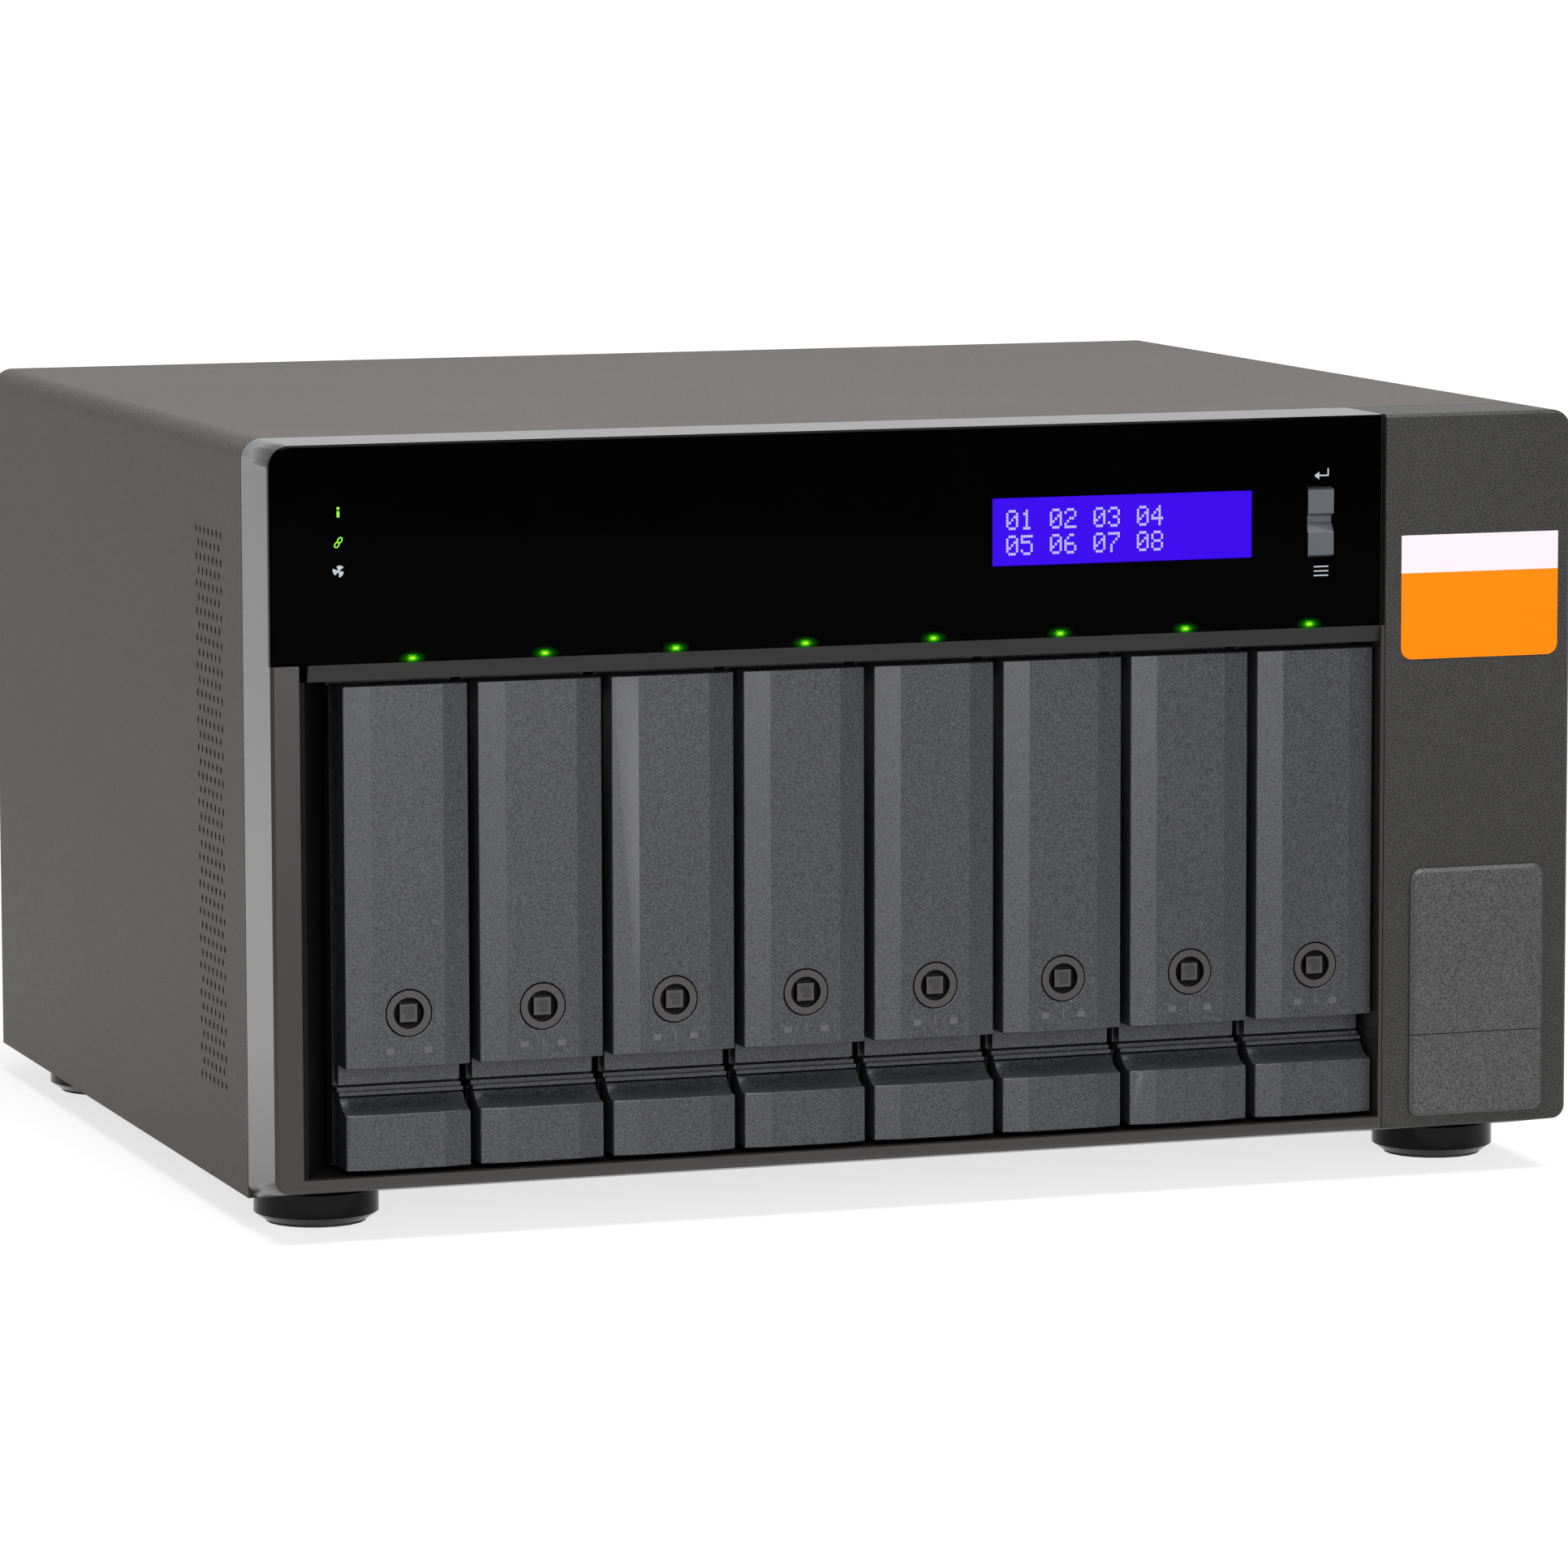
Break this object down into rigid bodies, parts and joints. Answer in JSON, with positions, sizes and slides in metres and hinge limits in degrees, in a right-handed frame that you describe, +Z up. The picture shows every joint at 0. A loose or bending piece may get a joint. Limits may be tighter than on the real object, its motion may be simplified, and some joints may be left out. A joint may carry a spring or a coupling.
{
  "type": "disk shelf enclosure",
  "caption": "Desktop disk shelf with a row of upright latching drive trays, a glossy display panel with a rocker key, a slide cover and rear fans.",
  "frame": {"origin": "middle of the footprint at the foot of the feet", "axes": "+Z up, +X to the right seen from the front, the front faces -Y"},
  "size_m": [0.3292, 0.2796, 0.1882],
  "materials": {
    "cover_paint": "textured powder coat",
    "dark_steel": "textured powder coat",
    "bezel_plastic": "fine satin",
    "fascia_plastic": "fine spark texture",
    "tray_plastic": "fine spark texture",
    "lock_plastic": "smooth satin",
    "gloss_black": "polished",
    "led_green": "lit indicator",
    "lcd_blue": "lit display",
    "key_plastic": "satin",
    "label_paper": "printed label, bare",
    "cage_black": "matt black",
    "circuit_board": "solder mask",
    "connector_black": "moulded",
    "bright_steel": "zinc plated sheet",
    "foot_gloss": "polished",
    "foot_rubber": "soft rubber"
  },
  "bodies": {
    "chassis": {"base_pan": "dark_steel", "top_cover": "cover_paint", "rear_panel": "cover_paint", "bezel_frame": "bezel_plastic", "side_fascia": "fascia_plastic", "gloss_panel": "gloss_black", "drive_leds": "led_green", "lcd_module": "lcd_blue", "front_board": "circuit_board", "lower_plate": "fascia_plastic", "label_sticker": "label_paper", "drive_cage": "cage_black", "backplane_board": "circuit_board", "backplane_sockets": "connector_black", "fan_frame_1": "connector_black", "fan_frame_2": "connector_black", "power_supply": "bright_steel", "ac_inlet": "connector_black", "host_ports": "bright_steel", "host_board": "circuit_board", "host_bracket": "bright_steel", "feet": "foot_gloss", "foot_pads": "foot_rubber"},
    "select_rocker": {"select_rocker": "key_plastic"},
    "slide_cover": {"slide_cover": "fascia_plastic"},
    "power_button": {"power_button": "key_plastic"},
    "fan_rotor_1": {"fan_rotor_1": "connector_black"},
    "fan_rotor_2": {"fan_rotor_2": "connector_black"},
    "tray_1": {"tray_carrier_1": "tray_plastic"},
    "handle_1": {"tray_handle_1": "tray_plastic"},
    "lock_1": {"tray_lock_1": "lock_plastic"},
    "release_1": {"tray_release_1": "tray_plastic"},
    "tray_2": {"tray_carrier_2": "tray_plastic"},
    "handle_2": {"tray_handle_2": "tray_plastic"},
    "lock_2": {"tray_lock_2": "lock_plastic"},
    "release_2": {"tray_release_2": "tray_plastic"},
    "tray_3": {"tray_carrier_3": "tray_plastic"},
    "handle_3": {"tray_handle_3": "tray_plastic"},
    "lock_3": {"tray_lock_3": "lock_plastic"},
    "release_3": {"tray_release_3": "tray_plastic"},
    "tray_4": {"tray_carrier_4": "tray_plastic"},
    "handle_4": {"tray_handle_4": "tray_plastic"},
    "lock_4": {"tray_lock_4": "lock_plastic"},
    "release_4": {"tray_release_4": "tray_plastic"},
    "tray_5": {"tray_carrier_5": "tray_plastic"},
    "handle_5": {"tray_handle_5": "tray_plastic"},
    "lock_5": {"tray_lock_5": "lock_plastic"},
    "release_5": {"tray_release_5": "tray_plastic"},
    "tray_6": {"tray_carrier_6": "tray_plastic"},
    "handle_6": {"tray_handle_6": "tray_plastic"},
    "lock_6": {"tray_lock_6": "lock_plastic"},
    "release_6": {"tray_release_6": "tray_plastic"},
    "tray_7": {"tray_carrier_7": "tray_plastic"},
    "handle_7": {"tray_handle_7": "tray_plastic"},
    "lock_7": {"tray_lock_7": "lock_plastic"},
    "release_7": {"tray_release_7": "tray_plastic"},
    "tray_8": {"tray_carrier_8": "tray_plastic"},
    "handle_8": {"tray_handle_8": "tray_plastic"},
    "lock_8": {"tray_lock_8": "lock_plastic"},
    "release_8": {"tray_release_8": "tray_plastic"}
  },
  "joints": [
    {"name": "tray_slide_1", "type": "slide", "parent": "chassis", "child": "tray_1", "axis": [0, -1, 0], "range_m": [0, 0.16]},
    {"name": "handle_hinge_1", "type": "hinge", "parent": "tray_1", "child": "handle_1", "pos_m": [-0.13148, -0.1322, 0.124], "axis": [-1, 0, 0], "range_deg": [0, 45]},
    {"name": "lock_turn_1", "type": "hinge", "parent": "handle_1", "child": "lock_1", "pos_m": [-0.13148, -0.1362, 0.054], "axis": [0, 1, 0], "range_deg": [0, 90]},
    {"name": "release_press_1", "type": "slide", "parent": "tray_1", "child": "release_1", "axis": [0, 1, 0], "range_m": [0, 0.002], "stiffness_N_per_m": 600},
    {"name": "tray_slide_2", "type": "slide", "parent": "chassis", "child": "tray_2", "axis": [0, -1, 0], "range_m": [0, 0.16]},
    {"name": "handle_hinge_2", "type": "hinge", "parent": "tray_2", "child": "handle_2", "pos_m": [-0.09866, -0.1322, 0.124], "axis": [-1, 0, 0], "range_deg": [0, 45]},
    {"name": "lock_turn_2", "type": "hinge", "parent": "handle_2", "child": "lock_2", "pos_m": [-0.09866, -0.1362, 0.054], "axis": [0, 1, 0], "range_deg": [0, 90]},
    {"name": "release_press_2", "type": "slide", "parent": "tray_2", "child": "release_2", "axis": [0, 1, 0], "range_m": [0, 0.002], "stiffness_N_per_m": 600},
    {"name": "tray_slide_3", "type": "slide", "parent": "chassis", "child": "tray_3", "axis": [0, -1, 0], "range_m": [0, 0.16]},
    {"name": "handle_hinge_3", "type": "hinge", "parent": "tray_3", "child": "handle_3", "pos_m": [-0.06582, -0.1322, 0.124], "axis": [-1, 0, 0], "range_deg": [0, 45]},
    {"name": "lock_turn_3", "type": "hinge", "parent": "handle_3", "child": "lock_3", "pos_m": [-0.06582, -0.1362, 0.054], "axis": [0, 1, 0], "range_deg": [0, 90]},
    {"name": "release_press_3", "type": "slide", "parent": "tray_3", "child": "release_3", "axis": [0, 1, 0], "range_m": [0, 0.002], "stiffness_N_per_m": 600},
    {"name": "tray_slide_4", "type": "slide", "parent": "chassis", "child": "tray_4", "axis": [0, -1, 0], "range_m": [0, 0.16]},
    {"name": "handle_hinge_4", "type": "hinge", "parent": "tray_4", "child": "handle_4", "pos_m": [-0.03299, -0.1322, 0.124], "axis": [-1, 0, 0], "range_deg": [0, 45]},
    {"name": "lock_turn_4", "type": "hinge", "parent": "handle_4", "child": "lock_4", "pos_m": [-0.03299, -0.1362, 0.054], "axis": [0, 1, 0], "range_deg": [0, 90]},
    {"name": "release_press_4", "type": "slide", "parent": "tray_4", "child": "release_4", "axis": [0, 1, 0], "range_m": [0, 0.002], "stiffness_N_per_m": 600},
    {"name": "tray_slide_5", "type": "slide", "parent": "chassis", "child": "tray_5", "axis": [0, -1, 0], "range_m": [0, 0.16]},
    {"name": "handle_hinge_5", "type": "hinge", "parent": "tray_5", "child": "handle_5", "pos_m": [-0.00016, -0.1322, 0.124], "axis": [-1, 0, 0], "range_deg": [0, 45]},
    {"name": "lock_turn_5", "type": "hinge", "parent": "handle_5", "child": "lock_5", "pos_m": [-0.00016, -0.1362, 0.054], "axis": [0, 1, 0], "range_deg": [0, 90]},
    {"name": "release_press_5", "type": "slide", "parent": "tray_5", "child": "release_5", "axis": [0, 1, 0], "range_m": [0, 0.002], "stiffness_N_per_m": 600},
    {"name": "tray_slide_6", "type": "slide", "parent": "chassis", "child": "tray_6", "axis": [0, -1, 0], "range_m": [0, 0.16]},
    {"name": "handle_hinge_6", "type": "hinge", "parent": "tray_6", "child": "handle_6", "pos_m": [0.03266, -0.1322, 0.124], "axis": [-1, 0, 0], "range_deg": [0, 45]},
    {"name": "lock_turn_6", "type": "hinge", "parent": "handle_6", "child": "lock_6", "pos_m": [0.03266, -0.1362, 0.054], "axis": [0, 1, 0], "range_deg": [0, 90]},
    {"name": "release_press_6", "type": "slide", "parent": "tray_6", "child": "release_6", "axis": [0, 1, 0], "range_m": [0, 0.002], "stiffness_N_per_m": 600},
    {"name": "tray_slide_7", "type": "slide", "parent": "chassis", "child": "tray_7", "axis": [0, -1, 0], "range_m": [0, 0.16]},
    {"name": "handle_hinge_7", "type": "hinge", "parent": "tray_7", "child": "handle_7", "pos_m": [0.06549, -0.1322, 0.124], "axis": [-1, 0, 0], "range_deg": [0, 45]},
    {"name": "lock_turn_7", "type": "hinge", "parent": "handle_7", "child": "lock_7", "pos_m": [0.06549, -0.1362, 0.054], "axis": [0, 1, 0], "range_deg": [0, 90]},
    {"name": "release_press_7", "type": "slide", "parent": "tray_7", "child": "release_7", "axis": [0, 1, 0], "range_m": [0, 0.002], "stiffness_N_per_m": 600},
    {"name": "tray_slide_8", "type": "slide", "parent": "chassis", "child": "tray_8", "axis": [0, -1, 0], "range_m": [0, 0.16]},
    {"name": "handle_hinge_8", "type": "hinge", "parent": "tray_8", "child": "handle_8", "pos_m": [0.09832, -0.1322, 0.124], "axis": [-1, 0, 0], "range_deg": [0, 45]},
    {"name": "lock_turn_8", "type": "hinge", "parent": "handle_8", "child": "lock_8", "pos_m": [0.09832, -0.1362, 0.054], "axis": [0, 1, 0], "range_deg": [0, 90]},
    {"name": "release_press_8", "type": "slide", "parent": "tray_8", "child": "release_8", "axis": [0, 1, 0], "range_m": [0, 0.002], "stiffness_N_per_m": 600},
    {"name": "rocker_tilt", "type": "hinge", "parent": "chassis", "child": "select_rocker", "pos_m": [0.09845, -0.1318, 0.1625], "axis": [1, 0, 0], "range_deg": [-4, 4], "stiffness_Nm_per_rad": 0.2},
    {"name": "cover_slide", "type": "slide", "parent": "chassis", "child": "slide_cover", "axis": [0, 0, 1], "range_m": [0, 0.033]},
    {"name": "power_press", "type": "slide", "parent": "chassis", "child": "power_button", "axis": [0, 1, 0], "range_m": [0, 0.0012], "stiffness_N_per_m": 800},
    {"name": "fan_spin_1", "type": "hinge", "parent": "chassis", "child": "fan_rotor_1", "pos_m": [-0.08516, 0.1233, 0.0833], "axis": [0, 1, 0], "continuous": true},
    {"name": "fan_spin_2", "type": "hinge", "parent": "chassis", "child": "fan_rotor_2", "pos_m": [0.03884, 0.1233, 0.0833], "axis": [0, 1, 0], "continuous": true}
  ]
}
